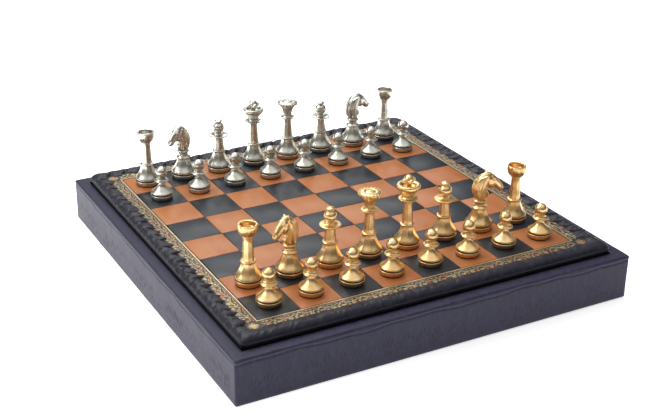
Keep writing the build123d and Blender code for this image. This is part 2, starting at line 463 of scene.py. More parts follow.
def border_leather():
    """Near-black calf under the foil, flecked with gold dust."""
    material, tree, shader, place = begin("border_calf")
    dust = add(tree, NOISE, {"Vector": place, "Scale": per(1.1), "Detail": 4})
    cloud = add(tree, NOISE, {"Vector": place, "Scale": per(7), "Detail": 2})
    base = tinted(tree, colour("17191F"), "2B2A2C", cloud.outputs["Fac"], 0.0, 1.0)
    base = tinted(tree, base, "8C7A50", dust.outputs["Fac"], 0.58, 0.7, 0.6)
    grain = add(tree, BUMP, {"Height": dust.outputs["Fac"], "Strength": 0.3, "Distance": 0.1 * MM})
    feed(tree, shader, {"Base Color": base, "Normal": grain.outputs["Normal"], "Roughness": 0.42})
    return material


def polished_brass():
    """Drawn brass wire, lacquered: bright with fine marks."""
    material, tree, shader, place = begin("lacquered_brass")
    mark = add(tree, NOISE, {"Vector": place, "Scale": per(4), "Detail": 3})
    base = tinted(tree, colour("F0E2C0"), "CDB384", mark.outputs["Fac"], 0.0, 1.0)
    rough = add(tree, RANGE, {"Value": mark.outputs["Fac"], "To Min": 0.22, "To Max": 0.4})
    feed(tree, shader, {"Base Color": base, "Roughness": rough.outputs["Result"], "Metallic": 0.6})
    return material


def napped(name, deep, light, fibre, sheen):
    """Cloth with a nap, felt or velvet: soft fibres that brighten where they lean."""
    material, tree, shader, place = begin(name)
    fluff = add(tree, NOISE, {"Vector": place, "Scale": per(fibre), "Detail": 5})
    brushed = add(tree, NOISE, {"Vector": place, "Scale": per(16), "Detail": 2})
    mixed = add(tree, MATH, {0: fluff.outputs["Fac"], 1: brushed.outputs["Fac"]}, operation="MULTIPLY")
    base = tinted(tree, colour(deep), light, mixed.outputs["Value"], 0.12, 0.42)
    nap = add(tree, BUMP, {"Height": fluff.outputs["Fac"], "Strength": 0.6, "Distance": 0.2 * MM})
    feed(tree, shader, {
        "Base Color": base, "Normal": nap.outputs["Normal"], "Roughness": 0.9,
        "Sheen Weight": sheen, "Sheen Roughness": 0.4, "Specular IOR Level": 0.2})
    return material


def board_stock(name, pale, dark):
    """Pressed fibreboard, sanded: short flecks of fibre, matt."""
    material, tree, shader, place = begin(name)
    lay = add(tree, MAPPING, {"Vector": place, "Scale": (per(5), per(1.2), per(1.2))})
    fleck = add(tree, NOISE, {"Vector": lay.outputs["Vector"], "Scale": 1.0, "Detail": 4})
    base = tinted(tree, colour(dark), pale, fleck.outputs["Fac"], 0.0, 1.0)
    tooth = add(tree, BUMP, {"Height": fleck.outputs["Fac"], "Strength": 0.2, "Distance": 0.1 * MM})
    feed(tree, shader, {"Base Color": base, "Normal": tooth.outputs["Normal"], "Roughness": 0.75})
    return material


def open_foam():
    """Upholstery foam: cream, full of small open cells."""
    material, tree, shader, place = begin("upholstery_foam")
    cell = add(tree, VORONOI, {"Vector": place, "Scale": per(0.9)})
    base = tinted(tree, colour("9C9272"), "E4DBBD", cell.outputs["Distance"], 0.0, 1.0)
    pit = add(tree, BUMP, {"Height": cell.outputs["Distance"], "Strength": 0.6, "Distance": 0.3 * MM})
    feed(tree, shader, {"Base Color": base, "Normal": pit.outputs["Normal"], "Roughness": 0.95})
    return material


EMBOSSED = leatherette("embossed_leatherette", "221F3A", "3C3A54", 0.5, 0.6)
# A darker copy of the box's leatherette for the embossed leaves: painted shade on the pressed pattern.
EMBOSS_SHADE = leatherette("pressed_leatherette_painted_shade", "1C1A31", "333149", 0.56, 0.6)
# The roll's leatherette takes painted shade in its pleats and at its foot.
PADDED = leatherette("gathered_leatherette", "121022", "262436", 0.42, 0.6, paints_shade=True)
TAN = field_leather("tan_calf", "AC6735", "B97B4A", "985127")
NAVY = field_leather("navy_calf", "161B22", "28303C", "0C1114")
GOLD = plated("polished_gold_plate", "F4D29B", "E8BE80", "C49258", 0.3)
SILVER = plated("polished_nickel_plate", "DAD8CE", "C4C2B5", "949184", 0.28)
GOLD_PATINA = patina("gold_groove_patina", "3A2410", "7A5324")
SILVER_PATINA = patina("nickel_groove_patina", "1E1E1E", "4A4A46")
FOIL = gilt_foil()
BORDER = border_leather()
BRASS = polished_brass()
FELT_CLOTH = napped("wool_felt", "10131F", "2B3145", 0.9, 0.25)
VELVET = napped("cotton_velvet", "0A1030", "26347A", 0.6, 0.8)
FIBREBOARD = board_stock("sanded_fibreboard", "B08A5E", "7C5C3A")
BLACK_BOARD = board_stock("black_stained_board", "1B1B1E", "0A0A0C")
FOAM = open_foam()


# The box ------------------------------------------------------------------------------------------

COVER = 0.8 * MM           # thickness of the leatherette
CLUSTERS = 8               # sprays of foliage to a side
RELIEF = 0.26              # how far their leaves stand out, in mm


def pull_through(rings, unit=1.0):
    """Pulls the selected outline, which is the first ring, through the other rings and back to the first."""
    for (r0, z0), (r1, z1) in zip(rings, [*rings[1:], rings[0]]):
        bpy.ops.mesh.extrude_edges_move(TRANSFORM_OT_translate={"value": (0, 0, (z1 - z0) * unit)})
        bpy.ops.transform.resize(value=(r1 / r0, r1 / r0, 1), center_override=(0, 0, z1 * unit))
    bpy.ops.object.mode_set(mode="OBJECT")


def square_band(name, rings, cuts):
    """A closed band round the box: a square outline pulled through (half width, height) rings."""
    deselect()
    half, height = rings[0]
    bpy.ops.mesh.primitive_plane_add(size=2 * half, location=(0, 0, height))
    band = bpy.context.object
    band.name = name
    settle()
    bpy.ops.object.mode_set(mode="EDIT")
    bpy.ops.mesh.select_all(action="SELECT")
    bpy.ops.mesh.delete(type="ONLY_FACE")
    bpy.ops.mesh.select_all(action="SELECT")
    bpy.ops.mesh.subdivide(number_cuts=cuts)
    bpy.ops.mesh.subdivide(number_cuts=1)
    pull_through(rings)
    return outward(band, FINE)


def clouds(name, size):
    """A soft noise whose lumps are about size across."""
    texture = bpy.data.textures.new(name, "CLOUDS")
    texture.noise_scale = size
    texture.noise_depth = 2
    return texture


def fold_group(piece, name, wanted):
    group = piece.vertex_groups.new(name=name)
    for vertex in piece.data.vertices:
        weight = wanted(vertex.co)
        if weight > 0:
            group.add([vertex.index], weight, "REPLACE")
    return name


def emboss_leaf(length, width, height, rounds=1):
    """A leaf pressed up from behind: a pointed lens with a raised midrib, lying along +X."""
    deselect()
    bpy.ops.mesh.primitive_circle_add(vertices=12, radius=MM, fill_type="TRIFAN")
    leaf = bpy.context.object
    leaf.scale = (length / 2, width / 2, 1)
    settle()
    for vertex in leaf.data.vertices:
        along = vertex.co.x / (length / 2 * MM)
        vertex.co.y *= 1 - 0.55 * abs(along) ** 3
        if vertex.co.xy.length < 0.05 * MM:
            vertex.co.z = height * MM
            vertex.co.x -= 0.1 * length * MM
    if rounds:
        modify(leaf, "SUBSURF", levels=rounds, render_levels=rounds)
    return leaf


def emboss_cluster():
    """One spray of foliage: slanting leaves of unequal length either side of a bare rib, in X and Y."""
    leaves = [(-17.5, 1.0, 118, 6.5, 0.20), (-14.6, 3.4, 112, 9.5, 0.20), (-11.2, 4.6, 108, 10.5, 0.19),
              (-7.8, 3.2, 104, 8.5, 0.20), (-14.2, -5.0, 128, 6.0, 0.26), (-9.6, -4.6, 118, 6.5, 0.24),
              (-3.8, 0.6, 112, 7.5, 0.22), (-0.6, 3.8, 106, 9.5, 0.20), (2.8, 5.4, 102, 10.0, 0.18),
              (6.0, 3.0, 98, 7.5, 0.22), (-1.4, -5.4, 132, 5.5, 0.28), (3.2, -4.2, 120, 6.5, 0.24),
              (9.8, 0.2, 116, 7.0, 0.22), (12.8, 3.2, 110, 8.5, 0.20), (15.8, 4.2, 104, 8.0, 0.20),
              (8.6, -5.4, 136, 5.0, 0.28), (14.0, -4.4, 124, 6.0, 0.24), (18.2, -0.6, 112, 5.5, 0.24)]
    pieces = []
    for x, y, turn, length, slim in leaves:
        leaf = emboss_leaf(length, length * slim, RELIEF)
        place = Matrix.Translation((x * MM, y * MM, -0.04 * MM))
        leaf.data.transform(place @ Matrix.Rotation(math.radians(turn), 4, "Z"))
        pieces.append(leaf)
    return joined("emboss_cluster", pieces)


def embossing():
    """Foliage clusters round the four sides of the box, none exactly over its neighbour's place."""
    chance = random.Random(11)
    cluster = emboss_cluster()
    upright = Matrix.Rotation(math.radians(90), 4, "X")
    spacing = 2 * (BOX_HALF - 8 * MM) / CLUSTERS
    copies = []
    for side in range(4):
        for index in range(CLUSTERS):
            along = (index - (CLUSTERS - 1) / 2) * spacing + chance.uniform(-1.5, 1.5) * MM
            height = WRAP_FOOT + (13.5 + chance.uniform(-0.8, 0.8)) * MM
            turn = Matrix.Rotation(math.radians(90 * side), 4, "Z")
            mirror = Matrix.Diagonal((1 if index % 2 else -1, 1, 1, 1))
            where = turn @ Matrix.Translation((along, -BOX_HALF, height)) @ upright @ mirror
            copies.append(copy_of(cluster, "emboss", where))
            if index % 2 == 0:
                copies[-1].data.flip_normals()
    drop(cluster)
    return joined("embossing", copies)


def box_leatherette():
    """The cover of the box: rounded edges, a slack fold under the rim, creased mitres and embossing."""
    inside = WALL_IN - COVER
    edge = 1.3 * MM
    rings = [(BOX_HALF - 2.2 * MM, WRAP_FOOT - 0.3 * MM), (BOX_HALF - 0.5 * MM, WRAP_FOOT - 0.1 * MM)]
    rings.append((BOX_HALF, WRAP_FOOT + 0.6 * MM))
    foot, brow = WRAP_FOOT + 0.6 * MM, LEDGE_TOP - edge
    fold, steps = brow - 6 * MM, 12
    rings += [(BOX_HALF, foot + (fold - foot) * step / steps) for step in range(1, steps + 1)]
    rings += [(BOX_HALF, fold + (brow - fold) * step / steps) for step in range(1, steps + 1)]
    quarter = [math.radians(90 * step / 4) for step in range(1, 5)]
    rings += [(BOX_HALF - edge + edge * math.cos(turn), brow + edge * math.sin(turn)) for turn in quarter]
    across = BOX_HALF - edge - inside - edge
    rings += [(BOX_HALF - edge - across * step / 5, LEDGE_TOP) for step in range(1, 6)]
    rings += [(inside + edge - edge * math.sin(turn), brow + edge * math.cos(turn)) for turn in quarter]
    rings += [(inside, REST_TOP + 2 * MM), (inside, REST_TOP)]
    rings += [(WALL_IN, REST_TOP), (WALL_IN, WALL_TOP), (WALL_OUT, WALL_TOP), (WALL_OUT, WRAP_FOOT)]
    wrap = square_band("box_leatherette", rings, 59)

    # Mitres: the diagonal edges of the ledge sink into a crease, and the upright corners are rounded.
    def on_diagonal(a, b, reach):
        level = all(abs(abs(v.x) - abs(v.y)) < 0.01 * MM for v in (a, b))
        return level and min(abs(a.x), abs(b.x)) > reach

    select_where(wrap, "EDGE", lambda a, b: (
        on_diagonal(a, b, inside - 0.1 * MM) and min(a.z, b.z) > brow + 0.5 * edge))
    bpy.ops.transform.translate(value=(0, 0, -0.3 * MM))
    bpy.ops.object.mode_set(mode="OBJECT")

    select_where(wrap, "EDGE", lambda a, b: (
        on_diagonal(a, b, BOX_HALF - 1.2 * edge) and max(a.z, b.z) < LEDGE_TOP))
    bpy.ops.mesh.bevel(offset=1.1 * MM, segments=3, affect="EDGES")
    bpy.ops.object.mode_set(mode="OBJECT")

    # The cover is slack over the board: long soft waves all over, and a fold just under the rim.
    group = fold_group(wrap, "outside", lambda p: float(max(abs(p.x), abs(p.y)) > WALL_OUT + 0.3 * MM))
    modify(wrap, "DISPLACE", texture=clouds("slack", 24 * MM), strength=0.5 * MM, vertex_group=group)
    for vertex in wrap.data.vertices:
        side, along, out = side_of(vertex.co)
        if out < BOX_HALF / MM - 1.5:
            continue
        below = (LEDGE_TOP - vertex.co.z) / MM
        start = 13.0 * SIDE_ORDER.index(side)
        line = 3.9 + 0.7 * math.sin(along / 17 + start) + 0.45 * math.sin(along / 6.1 + start)
        dent = 0.55 * math.exp(-((below - line) / 0.8) ** 2)
        ridge = 0.3 * math.exp(-((below - line + 1.8) / 1.2) ** 2)
        vertex.co[ACROSS[side]] *= 1 - (dent - ridge) / out
    wrap.vertex_groups.clear()
    pressed = embossing()
    dress(wrap, EMBOSSED)
    # The embossed leaves take the darker leatherette: painted shade.
    dress(pressed, EMBOSS_SHADE)
    piece = joined("box_leatherette", [wrap, pressed])
    smooth(piece, 50)
    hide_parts("leatherette_wrap")
    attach(piece, "box")


def softened(node, body, material, width, segments=3):
    """A board or lining whose CAD shape is right, with its cut edges rounded over by the cloth."""
    source = nodes[node]
    piece = copy_of(source, node + "_covered")
    for key in list(piece.keys()):
        del piece[key]
    piece.parent = None
    outward(piece)
    edit(piece)
    bpy.ops.object.mode_set(mode="EDIT")
    bpy.ops.mesh.select_all(action="SELECT")
    bpy.ops.mesh.dissolve_limited(angle_limit=math.radians(1))
    bpy.ops.object.mode_set(mode="OBJECT")
    modify(piece, "BEVEL", width=width, segments=segments, limit_method="ANGLE")
    smooth(piece, 40)
    dress(piece, material)
    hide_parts(node)
    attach(piece, body)


def inside_of_box():
    for node in ("left_liner", "right_liner", "front_liner", "back_liner"):
        softened(node, "box", VELVET, 0.9 * MM)
    for node in ("left_divider", "right_divider", "centre_divider"):
        softened(node, "box", VELVET, 1.1 * MM)
    softened("base_cloth", "box", FELT_CLOTH, 0.3 * MM, 2)
    softened("lid_lining", "lid", VELVET, 0.3 * MM, 2)


# The lid ------------------------------------------------------------------------------------------

def leather_squares(name, node, dark, material):
    """The 32 squares of one colour, each skived to a soft edge."""
    half = (SQUARE - SQUARE_GAP) / 2
    one = block(-half, half, -half, half, LEATHER_FOOT, BOARD_TOP)
    select_where(one, "EDGE", lambda a, b: min(a.z, b.z) > BOARD_TOP - 0.01 * MM)
    bpy.ops.mesh.bevel(offset=0.4 * MM, segments=3, affect="EDGES")
    bpy.ops.object.mode_set(mode="OBJECT")
    middle = (ROWS - 1) / 2
    copies = []
    for column in range(ROWS):
        for row in range(ROWS):
            if ((column + row) % 2 == 0) == dark:
                centre = ((column - middle) * SQUARE, (row - middle) * SQUARE, 0)
                copies.append(copy_of(one, name, Matrix.Translation(centre)))
    drop(one)
    piece = joined(name, copies)
    smooth(piece, 40)
    dress(piece, material)
    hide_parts(node)
    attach(piece, "lid")


REPEAT = SQUARE / 2        # length of one repeat of the scrolls
BORDER_FOOT = 141.8        # inner edge of the border strip, from the middle of the board, in mm
FOIL_FLAT = 0.28           # share of its thickness that the foil is pressed to
BORDER_NARROW = 0.79       # share of its drawn width that the scroll takes up


def spiral(x, y, radius, start, sweep, steps=7):
    """Points of a curl that winds in to a third of its radius."""
    points = []
    for step in range(steps):
        t = step / (steps - 1)
        points.append((*polar(x, y, radius * (1 - 0.68 * t), start + sweep * t), 0))
    return points


def polar(x, y, reach, turn):
    """The point at a reach and a turn in degrees from x, y."""
    return x + reach * math.cos(math.radians(turn)), y + reach * math.sin(math.radians(turn))


def petal(x, y, turn, length, width):
    leaf = emboss_leaf(length, width, 0.3, 0)
    leaf.data.transform(Matrix.Translation((x * MM, y * MM, 0)) @ Matrix.Rotation(math.radians(turn), 4, "Z"))
    return leaf


def fan(x, y, lengths, spread, width, middle=90):
    """Petals fanned round a point, like the half palmettes along the outer edge."""
    petals = []
    for index, length in enumerate(lengths):
        turn = middle + spread * (index / (len(lengths) - 1) - 0.5)
        petals.append(petal(*polar(x, y, 0.55 * length, turn), turn, length, width))
    return petals


def scroll_motif():
    """One repeat of the stamped border: a running stem, curls, leaves and half palmettes."""
    wide = REPEAT / MM
    parts = [strand([(wide * t / 8, 0.9, 0) for t in range(9)], 0.4, 1.0)]
    wave = [(wide * t / 8, 4.9 + 1.6 * math.sin(2 * math.pi * t / 8), 0) for t in range(9)]
    parts.append(strand(wave, 1.0, 0.9))
    parts.append(strand(spiral(4.8, 7.3, 2.3, 250, 420), 0.95))
    parts.append(strand(spiral(13.3, 3.3, 1.9, 70, -400), 0.85))
    parts.append(strand(spiral(9.2, 8.2, 1.5, 300, 360), 0.7))
    parts += fan(4.6, 8.6, (2.2, 2.9, 3.5, 2.9, 2.2), 150, 1.45)
    parts += fan(13.4, 8.0, (2.2, 3.0, 3.7, 3.0, 2.2), 140, 1.5)
    parts += fan(9.0, 9.6, (1.6, 2.0, 1.6), 90, 1.1)
    parts += fan(0.2, 9.4, (1.6, 2.2, 1.6), 90, 1.2)
    parts += fan(5.0, 2.0, (1.9, 2.3, 1.9), 110, 1.1)
    parts += fan(17.0, 6.4, (2.0, 2.4, 2.0), 120, 1.1, 120)
    leaves = [
        (1.6, 6.7, 35, 3.2), (10.6, 6.3, 150, 3.0), (8.8, 2.5, 20, 3.2), (2.0, 2.6, 160, 2.9),
        (16.5, 1.9, 10, 2.4), (11.2, 4.6, 60, 2.6), (7.2, 5.2, 130, 2.4), (15.6, 5.0, 80, 2.2),
    ]
    for x, y, turn, length in leaves:
        parts.append(petal(x, y, turn, length, length * 0.46))
    return joined("scroll_motif", parts)


def corner_motif():
    """Palmette where two runs of the border meet, made round its own middle."""
    parts = [ball(0, 0, 0, 1.0, 1.0, 0.4, 12, 6)]
    for turn in range(0, 360, 45):
        length = 4.2 if turn % 90 else 5.0
        parts.append(petal(*polar(0, 0, 0.6 * length, turn), turn, length, 1.9))
    for turn in range(22, 360, 45):
        parts.append(strand(spiral(*polar(0, 0, 4.5, turn), 0.95, turn, 330), 0.6))
    return joined("corner_motif", parts)


def border_strip():
    """Leather strip under the scrolls, whose outer edge goes in under the gathers."""
    inner, outer = BORDER_FOOT * MM, (TUCK + 0.6) * MM
    rings = [(inner, PANEL_TOP), (inner, BOARD_TOP), (outer, BOARD_TOP), (outer, PANEL_TOP)]
    strip = square_band("border_strip", rings, 3)
    dress(strip, BORDER)
    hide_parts("gilt_border")
    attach(strip, "lid")


def gilt_scrolls():
    """Stamped foil all round the border, standing a tenth of a millimetre proud of the leather."""
    motif = scroll_motif()
    corner = corner_motif()
    laid = Matrix.Diagonal((1, -BORDER_NARROW, FOIL_FLAT, 1))
    small = Matrix.Diagonal((0.8, 0.8, FOIL_FLAT, 1))
    middle = (BORDER_FOOT + 4.6) * MM
    copies = []
    count = round(2 * FIELD_HALF / REPEAT)
    for side in range(4):
        turn = Matrix.Rotation(math.radians(90 * side), 4, "Z")
        for index in range(count):
            place = Matrix.Translation(((index - count / 2) * REPEAT, -BORDER_FOOT * MM, BOARD_TOP))
            copies.append(copy_of(motif, "scroll", turn @ place @ laid))
        place = Matrix.Translation((middle, -middle, BOARD_TOP))
        copies.append(copy_of(corner, "palmette", turn @ place @ small))
    drop(motif, corner)
    piece = joined("gilt_scrolls", copies)
    outward(piece, 0.0)
    smooth(piece, 60)
    dress(piece, FOIL)
    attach(piece, "lid")


GATHERS = 24               # gathers of the roll, to a side
GATHER_DEPTH = {"front": 0.5, "right": 2.6, "back": 2.3, "left": 2.7}        # in mm
SIDE_ORDER = ("front", "right", "back", "left")
ACROSS = {"front": 1, "right": 0, "back": 1, "left": 0}        # which coordinate runs across each side
TUCK = PANEL_HALF / MM - 2.7        # where the roll meets the border, from the middle, in mm
ROLL_CORNER = 4.6 * MM
SIM_SCALE, SIM_FRAMES = 12.0, 16
SWELL_LIMIT = 0.6 * MM              # how far the simulation may carry a point
# Outline of the roll, in mm: in from the lid's edge and up from its foot, then the tucked part by TUCK
ROLL_BACK = [(-0.8, 0.2), (-0.7, 2.0), (-0.7, 4.2), (-0.4, 5.2), (0.2, 6.1), (0.6, 7.1), (0.65, 8.2),
             (0.3, 9.4), (-0.5, 10.6), (-1.5, 11.6), (-2.7, 12.3), (-3.9, 12.7), (-5.2, 12.85), (-6.5, 12.8),
             (-7.8, 12.6), (-9.0, 12.3), (-10.2, 11.95), (-11.3, 11.6)]
ROLL_TUCKED = [(0.5, 11.3), (0.0, 10.95), (0.0, 10.4), (1.5, 10.2)]
ROLL_INSIDE = [(-2.0, 5.0), (-1.6, 0.3)]


def side_of(point):
    """Which side of the board a point is on, its place along it and its distance from the middle, in mm."""
    x, y = point.x / MM, point.y / MM
    if abs(y) >= abs(x):
        return ("front", x, -y) if y < 0 else ("back", -x, y)
    return ("right", y, x) if x > 0 else ("left", -y, -x)


def gather_places():
    """Each gather by side: place along it, lean, reach and depth, irregular as hand-pulled ones are."""
    chance = random.Random(5)
    places = {side: [] for side in SIDE_ORDER}
    span = 2 * TUCK
    for side in SIDE_ORDER:
        for index in range(GATHERS):
            along = (index + 0.5) / GATHERS * span - span / 2 + chance.uniform(-3.2, 3.2)
            lean = chance.uniform(-0.75, -0.2)
            reach = chance.uniform(7.5, 11.5)
            depth = GATHER_DEPTH[side] * chance.uniform(0.65, 1.25)
            places[side].append((along, lean, reach, depth))
    return places


def pressed_in(point, places):
    """How deep the gathers press at a point, in mm: a pit beside the border, a valley out from it."""
    side, along, out = side_of(point)
    away = out - TUCK
    deepest = 0.0
    for place, lean, reach, depth in places[side]:
        if away > reach:
            continue
        off = along - place - lean * max(away, 0)
        if abs(off) > 5:
            continue
        t = max(away, 0) / reach
        pit = depth * math.exp(-(off / 2.1) ** 2) * (1 - ease(away, 1.8, 5.2))
        valley = 0.95 * depth * math.exp(-(off / 1.3) ** 2) * (1 - t) ** 0.6
        ripple = 0.12 * depth * (1 - t) * (0.5 + 0.5 * math.cos(2 * math.pi * off / 2.9))
        deepest = max(deepest, pit, valley + ripple)
    return deepest


def calm(point):
    """Share of the wrinkles left at a point: hands smooth the front each time the lid is lifted."""
    return 1 - 0.6 * ease(-point.y / MM, 115, 150)


def lobe_in(point, places):
    """How far the roll bulges in over the border at a point between two gathers, in mm."""
    side, along, out = side_of(point)
    share = 1 - ease(out - TUCK, 0.0, 6.5)
    if share <= 0 or abs(along) > TUCK - 6:
        return 0.0
    near = min(abs(along - place) for place, _, _, _ in places[side])
    size = 1.6 + 1.1 * math.sin(along * 0.41 + 1.3) + 0.7 * math.sin(along * 0.93)
    if side == "front":
        size *= 0.5
    return max(size, 0.2) * share * ease(near, 0.6, 4.2)


def roll_sheet():
    """The roll's cover: up the lid's side, over the foam, down beside the border and back underneath."""
    outer, foot = LID_HALF / MM, LID_UNDER / MM
    rings = [(outer + out, foot + up) for out, up in ROLL_BACK]
    rings += [(TUCK + out, foot + up) for out, up in ROLL_TUCKED]
    rings += [(outer + out, foot + up) for out, up in ROLL_INSIDE]
    half, height = rings[0]
    deselect()
    bpy.ops.mesh.primitive_plane_add(size=2 * half * MM, location=(0, 0, height * MM))
    sheet = bpy.context.object
    sheet.name = "padded_roll"
    settle()
    bpy.ops.object.mode_set(mode="EDIT")
    bpy.ops.mesh.select_all(action="SELECT")
    bpy.ops.mesh.bevel(offset=ROLL_CORNER, segments=6, affect="VERTICES")
    bpy.ops.mesh.select_all(action="SELECT")
    bpy.ops.mesh.delete(type="ONLY_FACE")
    bpy.ops.object.mode_set(mode="OBJECT")
    select_where(sheet, "EDGE", lambda a, b: (a - b).length > 100 * MM)
    bpy.ops.mesh.subdivide(number_cuts=99)
    bpy.ops.mesh.subdivide(number_cuts=1)
    bpy.ops.mesh.select_all(action="SELECT")
    pull_through(rings, MM)
    return outward(sheet, FINE)


def padded_roll():
    """Leatherette drawn over foam: swollen by a cloth simulation, then pulled in at its gathers."""
    sheet = roll_sheet()
    places = gather_places()
    held = sheet.vertex_groups.new(name="held")
    for vertex in sheet.data.vertices:
        side, _, out = side_of(vertex.co)
        hidden = vertex.co.z < LEDGE_TOP + 0.8 * MM or out < TUCK + 0.3 or vertex.co.z < PANEL_TOP
        if hidden or pressed_in(vertex.co, places) > 0.5 * GATHER_DEPTH[side]:
            held.add([vertex.index], 1.0, "REPLACE")
    swell(sheet, "held")
    sheet.vertex_groups.clear()
    modify(sheet, "SUBSURF", levels=1, render_levels=1)
    slack = fold_group(
        sheet, "slack", lambda p: calm(p) * ease(p.z / MM, LEDGE_TOP / MM + 1, LEDGE_TOP / MM + 3))
    lumps = clouds("roll_slack", 20 * MM)
    modify(sheet, "DISPLACE", texture=lumps, strength=0.5 * MM, vertex_group=slack)
    sheet.vertex_groups.clear()
    # Painted shade on the roll's leatherette, stored per point: deep in the pressed gathers, and along its
    # foot by the ledge.
    painted_shade = sheet.data.attributes.new("painted_roll_shade", "FLOAT", "POINT")
    for vertex in sheet.data.vertices:
        if vertex.co.z > BOARD_TOP - 0.6 * MM:
            press = min(pressed_in(vertex.co, places), (vertex.co.z - PANEL_TOP) / MM - 0.1)
            vertex.co.z -= press * MM
            painted_shade.data[vertex.index].value = min(1.0, max(0.0, press - 0.15) / 1.1)
        else:
            # Painted shade along the foot of the roll, where it meets the ledge.
            low = 1 - ease(vertex.co.z / MM, LEDGE_TOP / MM + 1.2, LEDGE_TOP / MM + 4.8)
            painted_shade.data[vertex.index].value = 0.85 * low
        side, _, out = side_of(vertex.co)
        vertex.co[ACROSS[side]] *= 1 - lobe_in(vertex.co, places) / out
    smooth(sheet, 75)
    dress(sheet, PADDED)
    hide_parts("edge_cover")
    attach(sheet, "lid")


def swell(sheet, held):
    """Runs the cloth, at a larger scale where its springs behave, and keeps each point near its place."""
    start = [vertex.co.copy() for vertex in sheet.data.vertices]
    sheet.data.transform(Matrix.Scale(SIM_SCALE, 4))
    pick(sheet)
    cloth = sheet.modifiers.new("Cloth", "CLOTH")
    settings = {
        "quality": 4, "vertex_group_mass": held, "use_pressure": True, "uniform_pressure_force": 3.0,
        "shrink_min": -0.045, "tension_stiffness": 12, "compression_stiffness": 12, "shear_stiffness": 6,
        "bending_stiffness": 0.3,
    }
    for name, value in settings.items():
        setattr(cloth.settings, name, value)
    cloth.settings.effector_weights.gravity = 0
    cloth.collision_settings.use_collision = False
    cloth.point_cache.frame_start = 1
    cloth.point_cache.frame_end = SIM_FRAMES
    for step in range(1, SIM_FRAMES + 1):
        bpy.context.scene.frame_set(step)
    bpy.ops.object.modifier_apply(modifier=cloth.name)
    bpy.context.scene.frame_set(1)
    sheet.data.transform(Matrix.Scale(1 / SIM_SCALE, 4))
    for vertex, origin in zip(sheet.data.vertices, start):
        move = vertex.co - origin
        cap = SWELL_LIMIT * calm(origin)
        if move.length > cap:
            vertex.co = origin + move * (cap / move.length)


# The men ------------------------------------------------------------------------------------------

def foot_outline(radius):
    """Plinth, groove and thin ring under every man."""
    return [
        (radius - 1.2, FELT), (radius - 0.95, FELT + 0.12), (radius - 0.85, FELT + 0.4), (radius - 0.55, 2.8),
        (radius - 0.6, 3.0), *bead(radius - 0.55, 3.05, 4.45, 0.55, 6), (radius - 1.2, 4.55),
        (radius - 1.25, 5.2),
    ]


def bell_outline(radius, neck, top, power=1.75):
    """A round shoulder, then a hollow sweep up to the neck."""
    shoulder = [(radius - 0.6, 5.3), (radius - 0.25, 5.6), (radius - 0.15, 6.1), (radius - 0.4, 6.9)]
    wide, low = radius - 0.9, 7.7
    sweep = []
    for step in range(13):
        t = step / 12
        sweep.append((neck + (wide - neck) * (1 - t) ** power, low + (top - low) * t))
    return shoulder + sweep


def faceted_foot_outline(radius, collar):
    return [*foot_outline(radius), *bell_outline(radius, collar - 0.75, COLLAR_FOOT - 0.1),
            *bead(collar - 0.5, COLLAR_FOOT, COLLAR_TOP, 0.5, 6)]


def shaft_outline(low, high, top):
    steps = 5
    return [(low + (high - low) * t / steps, COLLAR_TOP + 0.1 + (top - COLLAR_TOP - 0.1) * t / steps)
            for t in range(steps + 1)]


def cut_facets(piece, shaft_top):
    """Grinds eight flats on the shaft, and on the bell so that they fade out towards its foot."""
    def rule(radius, turn, height):
        if COLLAR_TOP + 0.05 < height < shaft_top:
            return radius * octagon(turn)
        if 5.8 < height < COLLAR_FOOT - 0.05:
            share = ease(height, 6.8, 12.5)
            return radius * (1 + share * (octagon(turn) - 1) * 1.05)
        return radius
    return reshape(piece, rule)


def break_edges(piece, edge=0.12):
    """Rounds over the sharp edges, as the plating does."""
    return modify(
        piece, "BEVEL", width=edge * MM, segments=2, limit_method="ANGLE", angle_limit=math.radians(34))


def finish_man(name, parts, edge=0.12):
    return smooth(break_edges(joined(name, parts), edge), 38)


def rook():
    top = 39.4
    outline = [
        *faceted_foot_outline(FOOT_RADIUS["rook"], 6.15), *shaft_outline(4.6, 3.75, top),
        *bead(4.1, 39.5, 40.5, 0.6, 5), *bow((4.1, 40.6), (7.1, 43.3), 0.7, 6), (7.55, 44.4), (7.75, 45.6),
        (7.75, 48.9), (7.6, 49.5), (7.2, 49.8), (6.2, 49.8), (5.75, 49.5), (5.6, 49.0), (5.5, 46.2),
        (5.1, 45.7), (0.6, 45.6),
    ]
    body = cut_facets(turned("rook", outline), top)

    def cup_facets(radius, turn, height):
        share = ease(height, 40.8, 42.4) * (1 - ease(height, 43.8, 45.4))
        return radius * (1 + share * (octagon(turn) - 1) * 1.1)

    body = finish_man("rook", [reshape(body, cup_facets)])
    wide, low, high = 0.55 * MM, 48.7 * MM, 51 * MM
    for turn in (22.5, 112.5):
        notch = block(-9 * MM, 9 * MM, -wide, wide, low, high)
        notch.data.transform(Matrix.Rotation(math.radians(turn), 4, "Z"))
        cut_away(body, notch)
    return smooth(body, 38)


